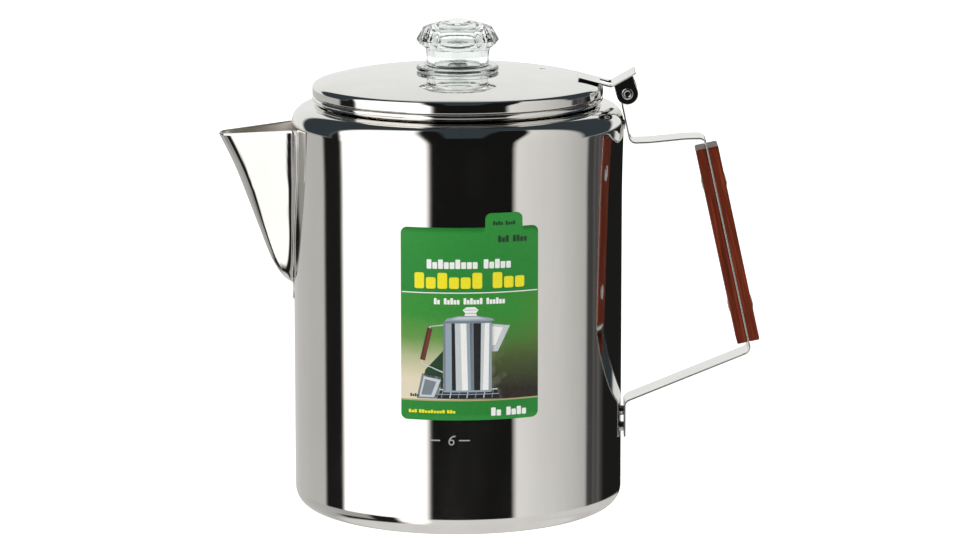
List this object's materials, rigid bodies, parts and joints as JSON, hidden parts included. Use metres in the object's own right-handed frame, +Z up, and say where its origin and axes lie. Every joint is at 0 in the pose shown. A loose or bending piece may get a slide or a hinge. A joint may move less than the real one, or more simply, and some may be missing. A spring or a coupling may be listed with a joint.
{
  "type": "coffee percolator",
  "caption": "Stainless stovetop percolator with a V spout, hinged domed lid, faceted glass knob, strap handle with wood grip, and a pump stem with basket inside.",
  "frame": {"origin": "centre of the pot's flat base, on the pot's axis", "axes": "+Z up along the pot's axis, +X towards the handle, -X towards the spout, -Y the front"},
  "size_m": [0.2635, 0.1614, 0.239],
  "materials": {
    "polished_steel": "mirror-polished stainless steel",
    "satin_steel": "plain drawn stainless steel",
    "rivet_steel": "rolled rivet ends",
    "wood": "varnished reddish-brown hardwood",
    "clear_glass": "clear pressed glass",
    "paper_label": "printed adhesive paper label"
  },
  "bodies": {
    "pot": {"pot_shell": "polished_steel", "spout": "polished_steel", "handle_strap": "polished_steel", "grip_inner": "wood", "grip_outer": "wood", "grip_rivet_upper": "rivet_steel", "grip_rivet_lower": "rivet_steel", "label": "paper_label"},
    "lid": {"lid_shell": "polished_steel", "lid_plug_ring": "satin_steel", "hinge_clip": "polished_steel", "hinge_pin": "rivet_steel"},
    "knob": {"glass_knob": "clear_glass"},
    "pump": {"pump_tube": "satin_steel", "pump_foot": "satin_steel", "basket_stop": "satin_steel"},
    "basket": {"basket_shell": "satin_steel", "basket_sleeve": "satin_steel"},
    "cover": {"basket_cover": "satin_steel"}
  },
  "joints": [
    {"name": "lid_hinge", "type": "hinge", "parent": "pot", "child": "lid", "pos_m": [0.082, 0, 0.2035], "axis": [0, 1, 0], "range_deg": [0, 155]},
    {"name": "knob_turn", "type": "hinge", "parent": "lid", "child": "knob", "pos_m": [0, 0, 0.2134], "axis": [0, 0, 1], "range_deg": [0, 90]},
    {"name": "pump_lift", "type": "slide", "parent": "pot", "child": "pump", "axis": [0, 0, 1], "range_m": [0, 0.01]},
    {"name": "basket_lift", "type": "slide", "parent": "pump", "child": "basket", "axis": [0, 0, 1], "range_m": [0, 0.008]},
    {"name": "cover_lift", "type": "slide", "parent": "basket", "child": "cover", "axis": [0, 0, 1], "range_m": [0, 0.004]}
  ]
}
